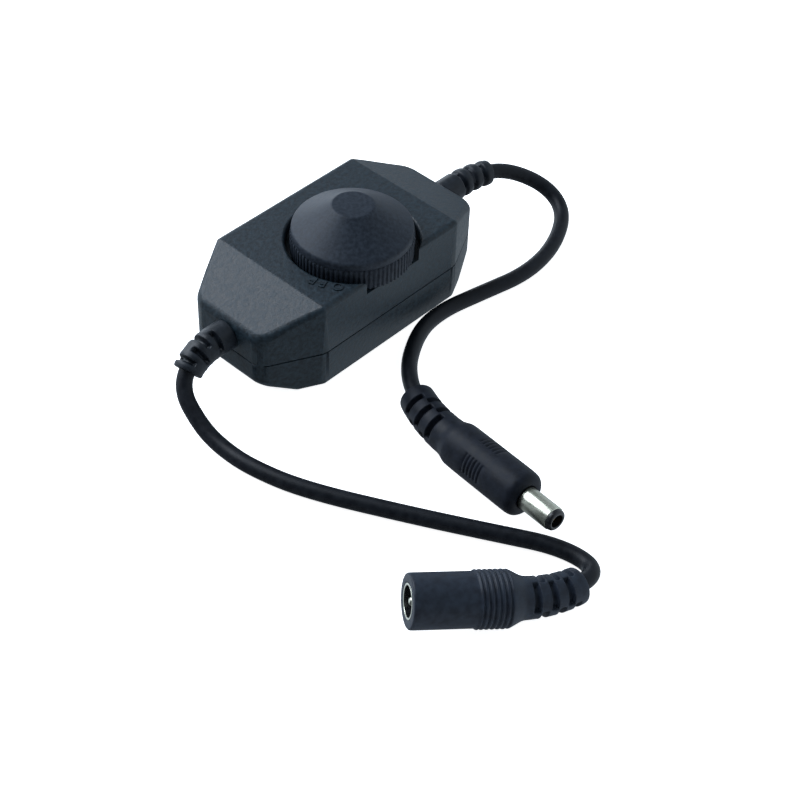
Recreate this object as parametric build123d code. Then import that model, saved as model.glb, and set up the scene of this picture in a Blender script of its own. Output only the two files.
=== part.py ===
from build123d import *
import math
import os

os.makedirs("parts", exist_ok=True)

# Case
case_length = 73.0
case_width = 36.0
case_height = 24.0
top_flat_length = 44.6
base_flat_length = 57.0
end_width = 21.6
end_face_top = 18.2
end_face_bottom = 4.0
parting_height = 10.2
wall = 2.0
edge_radius = 1.3
parting_chamfer = 0.35
tongue_height = 1.2
tongue_thickness = 0.8
tongue_clearance = 0.1

# Knob and its recess
knob_diameter = 29.6
knob_overhang = 1.5
ridge_count = 80
ridge_depth = 0.4
knob_gap = 0.4
band_height = 6.2
bevel_height = 1.2
bevel_inset = 0.25
cone_height = 6.2
cone_top_diameter = 10.6
cone_hollow = 0.35
cap_edge = 0.4
knob_wall = 2.0
knob_boss_diameter = 10.0
recess_depth = 3.9
recess_gap = 1.15
recess_wall = 1.6
knob_travel = 280.0

# Potentiometer
shaft_diameter = 6.0
shaft_clearance = 0.04
bush_diameter = 7.6
bush_hole_clearance = 0.3
pot_diameter = 15.0
pot_height = 6.0
pot_wall = 1.2
pot_plate_thickness = 0.8
rotor_gap = 0.3
rotor_thickness = 1.4
track_thickness = 0.4
wiper_lift = 0.15
pot_pin_diameter = 0.9
pot_pin_pitch = 2.5

# Board and what is on it
board_length = 42.0
board_clearance = 1.5
board_thickness = 1.6
board_height = 6.4
post_inset = 2.5
post_diameter = 4.0
hold_down_diameter = 3.0
chip_size = (4.9, 3.9, 1.4)
transistor_size = (6.6, 6.1, 2.2)
tab_thickness = 0.5
capacitor_diameter = 6.3
capacitor_height = 7.4
diode_size = (4.4, 2.7, 2.1)
resistor_size = (2.0, 1.25, 0.55)
resistor_count = 4
lead_diameter = 1.5

# Screws
screw_x = 25.5
screw_y = 10.5
screw_diameter = 2.3
screw_head_diameter = 4.2
screw_head_height = 1.6
screw_seat = 3.2
screw_bite = 7.0
screw_hole_clearance = 0.2
boss_diameter = 6.0

# Cords and their boots at the case
cord_diameter = 3.9
boot_height = 14.0
boot_diameter = 7.2
boot_end_diameter = 6.2
boot_neck_diameter = 5.6
boot_flange_diameter = 8.4
boot_flange_length = 1.5
boot_flange_clearance = 0.15
input_collar = 5.8
input_relief = 7.8
input_bend = 42.0
output_collar = 6.0
output_relief = 11.0
output_bend = 15.0
boot_slots = 3

# Plug on the output cord
barrel_diameter = 5.5
barrel_bore = 4.3
barrel_length = 9.6
barrel_tip = 1.1
barrel_root = 8.0
barrel_root_diameter = 5.0
barrel_tip_diameter = 5.0
contact_diameter = 3.1
contact_bore = 2.2
contact_setback = 1.6
plug_diameter = 11.0
plug_neck_diameter = 9.2
plug_flare = 2.6
plug_length = 22.2
plug_nose_radius = 1.9
plug_tail = 15.8
plug_tail_end_diameter = 8.7
plug_bend = 20.0
plug_tail_lift = 5.0
plug_slot_start = 3.4
plug_slot_pitch = 2.08
plug_slots = 5
plug_roll = 35.0
plug_grip_rings = 6
plug_grip_pitch = 1.05
plug_grip_start = 1.2

# Slots in the tails: how wide, and the shares of the tail's diameter that they go across and in
slot_width = 1.15
boot_slot_share = (1.1, 0.19)
end_slot_share = (0.6, 0.26)

# Jack on the input cord
jack_diameter = 11.8
jack_rib_diameter = 12.5
jack_neck_diameter = 9.2
jack_body_length = 14.0
jack_rib_length = 8.3
jack_cone = 1.9
jack_tail = 13.4
jack_tail_end_diameter = 8.1
jack_bend = 26.0
jack_slot_start = 2.1
jack_slot_pitch = 1.77
jack_slots = 6
jack_roll = 42.0
jack_rib_count = 6
socket_diameter = 6.6
sleeve_thickness = 0.5
socket_depth = 9.5
socket_base = 2.0
centre_pin_diameter = 2.0
centre_pin_root_diameter = 2.8
centre_pin_setback = 1.0

# Where the free ends lie
plug_neck_at = (-18.19, -53.93)
plug_heading = 262.52
plug_tilt = 4.2
jack_mouth_at = (-61.95, -80.83)
jack_heading = -36.63
jack_tilt = 8.0

# Worked out from the sizes above
half_length = case_length / 2
half_width = case_width / 2
recess_floor = case_height - recess_depth
knob_radius = knob_diameter / 2
knob_y = knob_radius - half_width - knob_overhang
recess_radius = knob_radius + recess_gap
knob_base = recess_floor + knob_gap
knob_rim = knob_base + band_height + bevel_height
knob_top = knob_rim + cone_height
board_width = case_width - 2 * wall - 2 * board_clearance
board_top = board_height + board_thickness
pot_top = board_top + pot_height
plate_top = pot_top + pot_plate_thickness
shaft_radius = shaft_diameter / 2
shaft_end = knob_top - knob_wall
rotor_top = pot_top - rotor_gap
rotor_base = rotor_top - rotor_thickness
track_top = board_top + pot_wall + track_thickness
cord_radius = cord_diameter / 2
roof_fall = (case_height - end_face_top) / (half_length - top_flat_length / 2)
inner_roof = case_height - wall * math.hypot(1, roof_fall)
inner_roof_end = inner_roof - roof_fall * (half_length - wall - top_flat_length / 2)
flange_top = inner_roof_end - boot_flange_clearance
posts = [
    (sx * (board_length / 2 - post_inset), sy * (board_width / 2 - post_inset))
    for sx in (-1, 1)
    for sy in (-1, 1)
]
screws = [(sx * screw_x, sy * screw_y) for sx in (-1, 1) for sy in (-1, 1)]


def upright(x, y, z, radius, height):
    return Pos(x, y, z) * Cylinder(radius, height, align=(Align.CENTER, Align.CENTER, Align.MIN))


def block(x, y, z, size):
    return Pos(x, y, z) * Box(*size, align=(Align.CENTER, Align.CENTER, Align.MIN))


def along(x, radius, length):
    # A cylinder on the X axis that starts at x
    return Pos(x + length / 2, 0, 0) * Rot(0, 90, 0) * Cylinder(radius, length)


def case_plan():
    return Polygon(
        (-top_flat_length / 2, -half_width),
        (top_flat_length / 2, -half_width),
        (half_length, -end_width / 2),
        (half_length, end_width / 2),
        (top_flat_length / 2, half_width),
        (-top_flat_length / 2, half_width),
        (-half_length, end_width / 2),
        (-half_length, -end_width / 2),
        align=None,
    )


def case_side():
    return Polygon(
        (-base_flat_length / 2, 0),
        (base_flat_length / 2, 0),
        (half_length, end_face_bottom),
        (half_length, end_face_top),
        (top_flat_length / 2, case_height),
        (-top_flat_length / 2, case_height),
        (-half_length, end_face_top),
        (-half_length, end_face_bottom),
        align=None,
    )


def rounded(outline):
    # A plan with the same corners as the rounded case
    return offset(offset(outline, -edge_radius, kind=Kind.INTERSECTION), edge_radius, kind=Kind.ARC)


def case_form():
    # A smaller sharp core, grown by the edge radius, so that every edge comes out rounded
    plan = offset(case_plan(), -edge_radius, kind=Kind.INTERSECTION)
    side = offset(case_side(), -edge_radius, kind=Kind.INTERSECTION)
    core = extrude(plan, case_height) & extrude(Plane.XZ * side, half_width, both=True)
    return offset(core, edge_radius, kind=Kind.ARC)


def case_hollow():
    plan = offset(case_plan(), -wall, kind=Kind.INTERSECTION)
    side = offset(case_side(), -wall, kind=Kind.INTERSECTION)
    return extrude(plan, case_height) & extrude(Plane.XZ * side, half_width, both=True)


def ring_plan(outer_inset, inner_inset):
    outside = offset(case_plan(), -outer_inset, kind=Kind.INTERSECTION)
    inside = offset(case_plan(), -inner_inset, kind=Kind.INTERSECTION)
    return outside - inside


def boot_seats():
    radius = boot_neck_diameter / 2
    reach = case_length + wall
    return Pos(-reach / 2, 0, boot_height) * along(0, radius, reach)


def parting_groove():
    # The bevelled outer corner of one shell at the parting line
    rim = Pos(0, 0, parting_height) * rounded(case_plan())
    inner = Pos(0, 0, parting_height) * offset(rounded(case_plan()), -parting_chamfer)
    return extrude(rim - inner, parting_chamfer / 2, both=True)


def upper_shell(form, hollow):
    keep = block(0, 0, parting_height, (2 * case_length, 2 * case_width, case_height))
    shell = (form - hollow) & keep
    cup = upright(0, knob_y, recess_floor - recess_wall, recess_radius + recess_wall, case_height)
    shell = shell + (cup & form)
    for x, y in screws:
        shell = shell + (upright(x, y, parting_height, boss_diameter / 2, case_height) & form)
    for x, y in posts:
        shell = shell + (upright(x, y, board_top, hold_down_diameter / 2, case_height) & form)
    tongue = Pos(0, 0, parting_height - tongue_height) * ring_plan(wall - tongue_thickness, wall)
    shell = shell + extrude(tongue, tongue_height + tongue_clearance)
    shell = shell - upright(0, knob_y, recess_floor, recess_radius, case_height)
    shell = shell - upright(0, knob_y, 0, bush_diameter / 2 + bush_hole_clearance, case_height)
    for x, y in screws:
        shell = shell - upright(x, y, 0, screw_diameter / 2, parting_height + screw_bite)
    return shell - boot_seats() - parting_groove()


def lower_shell(form, hollow):
    keep = block(0, 0, 0, (2 * case_length, 2 * case_width, parting_height))
    shell = (form - hollow) & keep
    for x, y in screws:
        shell = shell + (upright(x, y, 0, boss_diameter / 2, parting_height) & form)
    for x, y in posts:
        shell = shell + upright(x, y, wall / 2, post_diameter / 2, board_height - wall / 2)
    slot = Pos(0, 0, parting_height - tongue_height - tongue_clearance)
    slot = slot * ring_plan(wall - tongue_thickness - tongue_clearance, wall)
    shell = shell - extrude(slot, case_height)
    for x, y in screws:
        shell = shell - upright(x, y, 0, screw_head_diameter / 2 + screw_hole_clearance, screw_seat)
        shell = shell - upright(x, y, 0, screw_diameter / 2 + screw_hole_clearance, case_height)
    return shell - parting_groove()


def case_screws():
    made = []
    for x, y in screws:
        head = upright(x, y, screw_seat - screw_head_height, screw_head_diameter / 2, screw_head_height)
        shank = upright(x, y, screw_seat, screw_diameter / 2, parting_height + screw_bite - screw_seat)
        slot = screw_head_diameter * 0.6
        cross = Box(slot, 0.7, 1.4) + Box(0.7, slot, 1.4)
        made.append(head + shank - Pos(x, y, screw_seat - screw_head_height) * cross)
    return made


def ridged_band(radius):
    points = []
    for tooth in range(ridge_count):
        for part, reach in ((0.0, 0), (0.42, 0), (0.58, ridge_depth), (0.84, ridge_depth)):
            angle = 2 * math.pi * (tooth + part) / ridge_count
            points.append(((radius - reach) * math.cos(angle), (radius - reach) * math.sin(angle)))
    return Polygon(*points, align=None)


def knob():
    rim_radius = knob_radius - bevel_inset
    band = extrude(Pos(0, 0, knob_base) * ridged_band(knob_radius), band_height)
    half_cone = (rim_radius + cone_top_diameter / 2) / 2
    crown = Polyline(
        (0, knob_base + band_height),
        (knob_radius - ridge_depth, knob_base + band_height),
        (rim_radius, knob_rim - bevel_height / 2),
        (rim_radius, knob_rim - bevel_inset),
        (rim_radius - bevel_inset, knob_rim),
    )
    slope = ThreePointArc(
        (rim_radius - bevel_inset, knob_rim),
        (half_cone - cone_hollow, knob_rim + cone_height / 2 - cone_hollow),
        (cone_top_diameter / 2, knob_top - cap_edge / 2),
    )
    cap = Polyline(
        (cone_top_diameter / 2, knob_top - cap_edge / 2),
        (cone_top_diameter / 2 - cap_edge, knob_top),
        (0, knob_top),
        (0, knob_base + band_height),
    )
    profile = Plane.XZ * make_face([crown, slope, cap])
    body = band + revolve(profile, Axis.Z)
    inner_radius = knob_radius - ridge_depth - knob_wall
    hollow = Polyline(
        (0, knob_base),
        (inner_radius, knob_base),
        (inner_radius, knob_rim - knob_wall),
        (cone_top_diameter / 2, shaft_end),
        (0, shaft_end),
        close=True,
    )
    body = body - revolve(Plane.XZ * make_face(hollow), Axis.Z)
    body = body + upright(0, 0, knob_base, knob_boss_diameter / 2, shaft_end + knob_wall / 4 - knob_base)
    body = body - upright(0, 0, 0, shaft_radius, shaft_end)
    return Pos(0, knob_y, 0) * body


def pot_shaft():
    rotor_radius = pot_diameter / 2 - pot_wall - rotor_gap
    return upright(0, knob_y, rotor_base, shaft_radius, shaft_end - rotor_base) + upright(
        0, knob_y, rotor_base, rotor_radius, rotor_thickness
    )


def pot_wiper():
    gap = rotor_base - track_top - wiper_lift
    reach = pot_diameter / 2 - pot_wall - rotor_gap * 3
    spring = block(0, -reach / 2, rotor_base - gap / 3, (2.0, reach, gap / 3))
    contact = block(0, -reach + 0.8, track_top + wiper_lift, (1.2, 1.2, gap))
    return Pos(0, knob_y, 0) * (spring + contact)


def pot_track():
    outer = pot_diameter / 2 - pot_wall - rotor_gap
    inner = outer - 3.0
    ring = upright(0, knob_y, board_top + pot_wall, outer, track_thickness)
    return ring - upright(0, knob_y, board_top, inner, pot_height)


def pot_body():
    cup = upright(0, knob_y, board_top, pot_diameter / 2, pot_height)
    return cup - upright(0, knob_y, board_top + pot_wall, pot_diameter / 2 - pot_wall, pot_height)


def pot_plate():
    plate = upright(0, knob_y, pot_top, pot_diameter / 2, pot_plate_thickness)
    bush = upright(0, knob_y, pot_top, bush_diameter / 2, recess_floor - pot_top)
    return plate + bush - upright(0, knob_y, 0, shaft_radius + shaft_clearance, case_height)


def pot_pin_places():
    row = [(step * pot_pin_pitch, knob_y - pot_diameter / 2 + pot_wall) for step in (-1, 0, 1)]
    return row + [(step * pot_pin_pitch, knob_y + pot_diameter / 2 - pot_wall) for step in (-1, 1)]


def pot_pins():
    low = board_height - board_thickness
    return [upright(x, y, low, pot_pin_diameter / 2, board_top - low) for x, y in pot_pin_places()]


def circuit_board():
    board = block(0, 0, board_height, (board_length, board_width, board_thickness))
    for x, y in pot_pin_places():
        board = board - upright(x, y, 0, pot_pin_diameter / 2, case_height)
    return board


def timer_chip():
    length, width, height = chip_size
    made = block(0, 0, 0.2, (length, width, height))
    for side in (-1, 1):
        for step in range(4):
            x = (step - 1.5) * 1.27
            made = made + block(x, side * (width / 2 + 0.5), 0, (0.4, 1.2, 0.2))
            made = made + block(x, side * width / 2, 0, (0.4, 0.4, height / 2 + 0.2))
    return Pos(-board_length / 4, board_width / 4, board_top) * made


def transistor_at():
    return Pos(board_length / 4, board_width / 4, board_top)


def transistor_tab():
    length, width, height = transistor_size
    return transistor_at() * block(0, 1.2, 0, (length - 1.2, width + 2.4, tab_thickness))


def power_transistor():
    length, width, height = transistor_size
    made = block(0, 0, tab_thickness, (length, width, height))
    for side in (-1, 1):
        made = made + block(side * 2.28, -width / 2 - 1.2, 0, (0.8, 2.6, tab_thickness))
        made = made + block(side * 2.28, -width / 2, 0, (0.8, 0.6, height / 2))
    made = made - block(0, 1.2, 0, (length - 1.2, width + 2.4, tab_thickness))
    return transistor_at() * made


def capacitor():
    radius = capacitor_diameter / 2
    can = upright(0, 0, 0, radius, capacitor_height)
    can = fillet(can.edges().group_by(Axis.Z)[-1], radius / 6)
    groove = Pos(0, 0, 1.2) * Torus(radius + 0.15, 0.35)
    x = -board_length / 2 + capacitor_diameter + hold_down_diameter / 2
    return Pos(x, knob_y, board_top) * (can - groove)


def diode():
    length, width, height = diode_size
    body = block(0, 0, 0, diode_size)
    ends = block(0, 0, 0, (length + 1.2, width / 2, height / 3))
    x = board_length / 2 - length - hold_down_diameter / 2
    return Pos(x, knob_y, board_top) * (body + ends)


def resistors():
    made = []
    for step in range(resistor_count):
        x = (step - (resistor_count - 1) / 2) * resistor_size[0] * 1.6
        made.append(block(x, board_width / 2 - 2 * resistor_size[1], board_top, resistor_size))
    return made


def wire_leads(side):
    made = []
    for lane in (-1, 1):
        near = lane * lead_diameter * 0.75
        far = lane * lead_diameter * 2
        low = board_top + lead_diameter / 2
        start = half_length - wall - boot_flange_length
        points = [
            (side * start, near, boot_height),
            (side * (start - 4.0), near, boot_height),
            (side * (board_length / 2 + 1.5), far, low),
            (side * (board_length / 2 - 3.0), far, low),
        ]
        path = FilletPolyline(*points, radius=lead_diameter * 1.5)
        section = Plane(points[0], z_dir=(-side, 0, 0)) * Circle(lead_diameter / 2)
        made.append(sweep(section, path=path))
    return made


def slotted_tail(length, bend, diameters, slots, cut_share):
    # A round tail along an arc, cut by slots that take turns between two pairs of sides
    first, pitch, count, roll = slots
    across, depth = cut_share
    angle = math.radians(bend)
    radius = length / angle

    def frame(station):
        turn = station / radius
        spot = (radius * math.sin(turn), radius * (1 - math.cos(turn)), 0)
        return Plane(spot, x_dir=(0, 0, 1), z_dir=(math.cos(turn), math.sin(turn), 0)).location

    def width(station):
        return diameters[0] + (diameters[1] - diameters[0]) * station / length

    stations = [length * step / 4 for step in range(5)]
    tail = loft([frame(station) * Circle(width(station) / 2) for station in stations])
    for step in range(count):
        station = first + step * pitch
        floor = width(station) * (0.5 - depth)
        cut = Box(width(station), width(station) * across, slot_width)
        for side in (0, 180):
            turn = Rot(0, 0, roll + 90 * (step % 2) + side)
            tail = tail - frame(station) * turn * Pos(floor + width(station) / 2, 0, 0) * cut
    return tail, frame(length)


def case_boot(side, collar, length, bend, towards):
    flange = along(-wall - boot_flange_length, boot_flange_diameter / 2, boot_flange_length)
    neck = along(-wall, boot_neck_diameter / 2, wall)
    grip = along(0, boot_diameter / 2, collar)
    slots = (slot_width / 2, length / boot_slots, boot_slots, 0)
    diameters = (boot_diameter, boot_end_diameter)
    tail, end = slotted_tail(length, bend, diameters, slots, boot_slot_share)
    made = flange + neck + grip + Pos(collar, 0, 0) * tail
    across = Vector(side, 0, 0).cross(Vector(*towards))
    where = Plane((side * half_length, 0, boot_height), x_dir=(side, 0, 0), z_dir=across).location
    # The flange is flat on top, under the sloping roof of the case
    trim = (boot_flange_length, 2 * boot_flange_diameter, boot_flange_diameter)
    trim = block(side * (half_length - wall - boot_flange_length / 2), 0, flange_top, trim)
    return where * made - trim, where * Pos(collar, 0, 0) * end


def plug_frame():
    # The plug lies on the rear edge of its body and on the end of its tail, so its barrel is a little raised
    tilt = math.radians(plug_tilt)
    rest = plug_diameter / 2 * math.cos(tilt) - plug_flare * math.sin(tilt)
    return Plane((*plug_neck_at, rest)).location * Rot(0, 0, plug_heading) * Rot(0, -plug_tilt, 0)


def jack_frame():
    # The jack lies on its last rib and on the end of its tail, so its mouth is a little raised
    tilt = math.radians(jack_tilt)
    rest = (jack_body_length + jack_rib_length) * math.sin(tilt) + jack_rib_diameter / 2 * math.cos(tilt)
    return Plane((*jack_mouth_at, rest)).location * Rot(0, 0, jack_heading) * Rot(0, jack_tilt, 0)


def plug_front():
    return plug_flare + plug_length


def plug_body():
    radius = plug_diameter / 2
    front = plug_front()
    outline = Polyline(
        (0, 0),
        (0, plug_neck_diameter / 2),
        (plug_flare, radius),
        (front, radius),
        (front, 0),
        close=True,
    )
    made = revolve(make_face(outline), Axis.X)
    made = fillet(made.edges().sort_by(Axis.X)[-1], plug_nose_radius)
    made = made - along(front - barrel_root, barrel_root_diameter / 2, barrel_root)
    pitch = plug_grip_pitch
    for step in range(plug_grip_rings):
        x = plug_flare + plug_grip_start + step * pitch
        groove = along(x, radius + 1, pitch / 2) - along(x, radius - 0.3, pitch / 2)
        for side in (-1, 1):
            patch = Rot(plug_roll, 0, 0) * Pos(x, side * radius, 0) * Box(4 * pitch, radius * 0.9, 2 * radius)
            made = made - (groove & patch)
    diameters = (plug_neck_diameter, plug_tail_end_diameter)
    slots = (plug_slot_start, plug_slot_pitch, plug_slots, -plug_roll)
    tail, end = slotted_tail(plug_tail, plug_bend, diameters, slots, end_slot_share)
    turned = Rot(plug_tail_lift, 0, 0) * Rot(0, 180, 0)
    made = made + turned * tail
    return plug_frame() * made, plug_frame() * turned * end


def plug_barrel():
    front = plug_front()
    reach = barrel_root + barrel_length - barrel_tip
    tube = along(front, barrel_diameter / 2, barrel_length - barrel_tip)
    tube = tube + along(front - barrel_root, barrel_root_diameter / 2, barrel_root)
    return plug_frame() * (tube - along(front - barrel_root, barrel_bore / 2, reach))


def plug_insulator():
    front = plug_front()
    made = along(front - barrel_root, barrel_bore / 2, barrel_root + barrel_length)
    tip = along(front + barrel_length - barrel_tip, barrel_tip_diameter / 2, barrel_tip)
    made = made + fillet(tip.edges().sort_by(Axis.X)[-1], barrel_tip / 3)
    made = made - along(front - barrel_root, contact_diameter / 2, barrel_root + barrel_length)
    return plug_frame() * made


def plug_contact():
    front = plug_front()
    reach = barrel_root + barrel_length - contact_setback
    made = along(front - barrel_root, contact_diameter / 2, reach)
    return plug_frame() * (made - along(front - barrel_root / 2, contact_bore / 2, reach))


def jack_body():
    radius = jack_diameter / 2
    rib = jack_rib_diameter / 2
    ribs_end = jack_body_length + jack_rib_length
    neck = ribs_end + jack_cone
    outline = Polyline(
        (0, 0),
        (0, radius - 0.5),
        (0.5, radius),
        (jack_body_length, radius),
        (jack_body_length + 0.3, rib),
        (ribs_end, rib),
        (neck, jack_neck_diameter / 2),
        (neck, 0),
        close=True,
    )
    made = revolve(make_face(outline), Axis.X)
    sleeve = socket_diameter / 2 + sleeve_thickness
    made = made - along(0, sleeve, socket_depth + socket_base)
    pitch = jack_rib_length / jack_rib_count
    for step in range(jack_rib_count):
        x = jack_body_length + pitch * (step + 0.45)
        made = made - (along(x, rib + 1, pitch * 0.35) - along(x, rib - 0.45, pitch * 0.35))
    diameters = (jack_neck_diameter, jack_tail_end_diameter)
    slots = (jack_slot_start, jack_slot_pitch, jack_slots, jack_roll)
    tail, end = slotted_tail(jack_tail, jack_bend, diameters, slots, end_slot_share)
    made = made + Pos(neck, 0, 0) * tail
    return jack_frame() * made, jack_frame() * Pos(neck, 0, 0) * end


def jack_sleeve():
    outer = socket_diameter / 2 + sleeve_thickness
    return jack_frame() * (along(0, outer, socket_depth) - along(0, socket_diameter / 2, socket_depth))


def jack_base():
    outer = socket_diameter / 2 + sleeve_thickness
    made = along(socket_depth, outer, socket_base)
    return jack_frame() * (made - along(socket_depth, centre_pin_root_diameter / 2, socket_base))


def jack_pin():
    made = along(centre_pin_setback, centre_pin_diameter / 2, socket_depth - centre_pin_setback)
    made = fillet(made.edges().sort_by(Axis.X)[0], centre_pin_diameter * 0.3)
    return jack_frame() * (made + along(socket_depth, centre_pin_root_diameter / 2, socket_base))


def corner_radii(points):
    radii = []
    for before, here, after in zip(points, points[1:], points[2:]):
        first = Vector(*here) - Vector(*before)
        second = Vector(*after) - Vector(*here)
        turn = math.radians(first.get_angle(second))
        radii.append(0.45 * min(first.length, second.length) / math.tan(turn / 2))
    return radii


def cord(name, points):
    radii = corner_radii(points)
    path = FilletPolyline(*points, radius=radii)
    start = Vector(*points[1]) - Vector(*points[0])
    tube = sweep(Plane(points[0], z_dir=start) * Circle(cord_radius), path=path)
    share = tube.volume / (math.pi * cord_radius**2 * path.length)
    print(name, "length", round(path.length, 1), "volume share", round(share, 4))
    print(name, "corner radii", [round(radius, 1) for radius in radii])
    return tube


def spot(location):
    place = location.position
    return (place.X, place.Y, place.Z)


def ahead(location, distance):
    place = location.position + Plane(location).z_dir * distance
    return (place.X, place.Y, place.Z)


def save(name, shape):
    solids = shape if isinstance(shape, list) else [shape]
    if len(solids) > 1:
        made = Compound(label=name, children=[solid.solid() for solid in solids])
    else:
        made = solids[0].solid()
        made.label = name
    export_step(made, "parts/" + name + ".step")


form = case_form()
hollow = case_hollow()
input_boot, input_exit = case_boot(-1, input_collar, input_relief, input_bend, (0, -0.3, -0.95))
output_boot, output_exit = case_boot(1, output_collar, output_relief, output_bend, (0, -0.8, -0.6))
plug, plug_entry = plug_body()
jack, jack_entry = jack_body()

input_route = [
    spot(input_exit),
    ahead(input_exit, 4.2),
    (-54.3, -10.0, 4.0),
    (-54.4, -16.8, 2.0),
    (-54.0, -26.3, 2.0),
    (-50.2, -40.0, 2.0),
    (-38.3, -63.1, 2.0),
    (-29.5, -79.0, 2.0),
    (-23.9, -89.1, 2.0),
    (-22.5, -97.5, 2.1),
    ahead(jack_entry, 4.4),
    spot(jack_entry),
]
output_route = [
    spot(output_exit),
    ahead(output_exit, 5.5),
    (67.4, -9.4, 6.5),
    (66.2, -17.8, 3.0),
    (54.6, -24.3, 2.0),
    (40.9, -26.5, 2.0),
    (27.0, -23.4, 2.0),
    (14.5, -21.1, 2.4),
    (3.7, -23.1, 3.2),
    ahead(plug_entry, 8.0),
    spot(plug_entry),
]
print("input route", [tuple(round(v, 2) for v in point) for point in input_route])
print("output route", [tuple(round(v, 2) for v in point) for point in output_route])

save("upper_shell", upper_shell(form, hollow))
save("lower_shell", lower_shell(form, hollow))
save("case_screws", case_screws())
save("knob", knob())
save("pot_shaft", pot_shaft())
save("pot_wiper", pot_wiper())
save("pot_track", pot_track())
save("pot_body", pot_body())
save("pot_plate", pot_plate())
save("pot_pins", pot_pins())
save("circuit_board", circuit_board())
save("timer_chip", timer_chip())
save("power_transistor", power_transistor())
save("transistor_tab", transistor_tab())
save("capacitor", capacitor())
save("diode", diode())
save("resistors", resistors())
save("input_leads", wire_leads(-1))
save("output_leads", wire_leads(1))
save("input_boot", input_boot)
save("output_boot", output_boot)
save("input_cord", cord("input cord", input_route))
save("output_cord", cord("output cord", output_route))
save("plug_body", plug)
save("plug_barrel", plug_barrel())
save("plug_insulator", plug_insulator())
save("plug_contact", plug_contact())
save("jack_body", jack)
save("jack_sleeve", jack_sleeve())
save("jack_base", jack_base())
save("jack_pin", jack_pin())
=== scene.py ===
import math
import bmesh
import bpy
from mathutils import Matrix, Vector


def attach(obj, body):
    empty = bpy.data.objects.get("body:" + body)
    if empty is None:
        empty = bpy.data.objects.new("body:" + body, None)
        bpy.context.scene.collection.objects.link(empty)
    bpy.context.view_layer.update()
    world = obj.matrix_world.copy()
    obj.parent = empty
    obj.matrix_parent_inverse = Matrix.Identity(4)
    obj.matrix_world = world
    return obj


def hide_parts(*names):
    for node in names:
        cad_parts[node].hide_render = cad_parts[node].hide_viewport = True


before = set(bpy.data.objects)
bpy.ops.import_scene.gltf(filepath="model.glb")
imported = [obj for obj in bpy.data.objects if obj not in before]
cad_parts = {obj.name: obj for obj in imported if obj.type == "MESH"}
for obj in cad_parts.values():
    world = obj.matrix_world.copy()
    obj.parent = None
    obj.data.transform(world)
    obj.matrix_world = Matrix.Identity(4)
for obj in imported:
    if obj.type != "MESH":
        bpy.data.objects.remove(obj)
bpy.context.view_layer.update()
scene = bpy.context.scene
mm = 0.001
print("frame loaded:", len(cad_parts), "nodes")


cameraView = {
    "azimuth": -48.64,
    "elevation": 44.40,
    "roll": 2.58,
    "distance": 410.7,  # mm from the point that the view turns about
    "target": (-13.4, -33.7, 0.0),
    "lens": 79.2,
    "sensor": 36.0,
    "nearest": 0.01,  # metres
}


def makeCamera(view):
    az, el, roll = (math.radians(view[k]) for k in ("azimuth", "elevation", "roll"))
    back = Vector((math.sin(az) * math.cos(el), -math.cos(az) * math.cos(el), math.sin(el)))
    right = Vector((math.cos(az), math.sin(az), 0))
    up = back.cross(right)
    across = math.cos(roll) * right + math.sin(roll) * up
    upward = math.cos(roll) * up - math.sin(roll) * right
    data = bpy.data.cameras.new("photoCamera")
    data.lens = view["lens"]
    data.sensor_width = view["sensor"]
    data.clip_start = view["nearest"]
    camera = bpy.data.objects.new("photoCamera", data)
    scene.collection.objects.link(camera)
    camera.matrix_world = Matrix((across, upward, back)).transposed().to_4x4()
    camera.location = (Vector(view["target"]) + view["distance"] * back) * mm
    scene.camera = camera


makeCamera(cameraView)
print("camera set")


cords = {  # control points in mm, the same route as the solids follow
    "inputLead": {
        "points": [(-49.42, -0.82, 11.39), (-52.54, -1.67, 8.71), (-54.3, -10.0, 4.0), (-54.4, -16.8, 2.0),
                   (-54.0, -26.3, 2.0), (-50.2, -40.0, 2.0), (-38.3, -63.1, 2.0), (-29.5, -79.0, 2.0),
                   (-23.9, -89.1, 2.0), (-22.5, -97.5, 2.1), (-26.35, -101.17, 3.57), (-30.65, -100.38, 4.12)],
        "diameter": 3.9,
        "length": 117.7,
    },
    "outputLead": {
        "points": [(53.37, -1.15, 13.14), (58.69, -2.28, 12.29), (67.4, -9.4, 6.5), (66.2, -17.8, 3.0),
                   (54.6, -24.3, 2.0), (40.9, -26.5, 2.0), (27.0, -23.4, 2.0), (14.5, -21.1, 2.4),
                   (3.7, -23.1, 3.2), (-9.8, -31.86, 4.09), (-13.48, -38.96, 4.4)],
        "diameter": 3.9,
        "length": 114.6,
    },
}


def makeCord(name, route):
    curve = bpy.data.curves.new(name, "CURVE")
    curve.dimensions = "3D"
    curve.bevel_depth = 1.0  # each point's own radius sets the thickness, so that the box is measured right
    curve.bevel_resolution = 10
    curve.resolution_u = 24
    curve.use_fill_caps = True
    spline = curve.splines.new("NURBS")
    spline.points.add(len(route["points"]) - 1)
    for point, place in zip(spline.points, route["points"]):
        point.co = (*(Vector(place) * mm), 1)
        point.radius = route["diameter"] / 2 * mm
    spline.order_u = 3  # after the points are there, or it stays at straight runs
    spline.use_endpoint_u = True
    lead = bpy.data.objects.new(name, curve)
    scene.collection.objects.link(lead)
    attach(lead, "case")
    return lead


inputLead = makeCord("inputLead", cords["inputLead"])
outputLead = makeCord("outputLead", cords["outputLead"])
print("cords laid")


def linear(hexColour):  # sRGB hex to the linear values that Blender's sockets take
    parts = [int(hexColour[i:i + 2], 16) / 255 for i in (1, 3, 5)]
    return tuple(p / 12.92 if p <= 0.04045 else ((p + 0.055) / 1.055) ** 2.4 for p in parts) + (1.0,)


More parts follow.
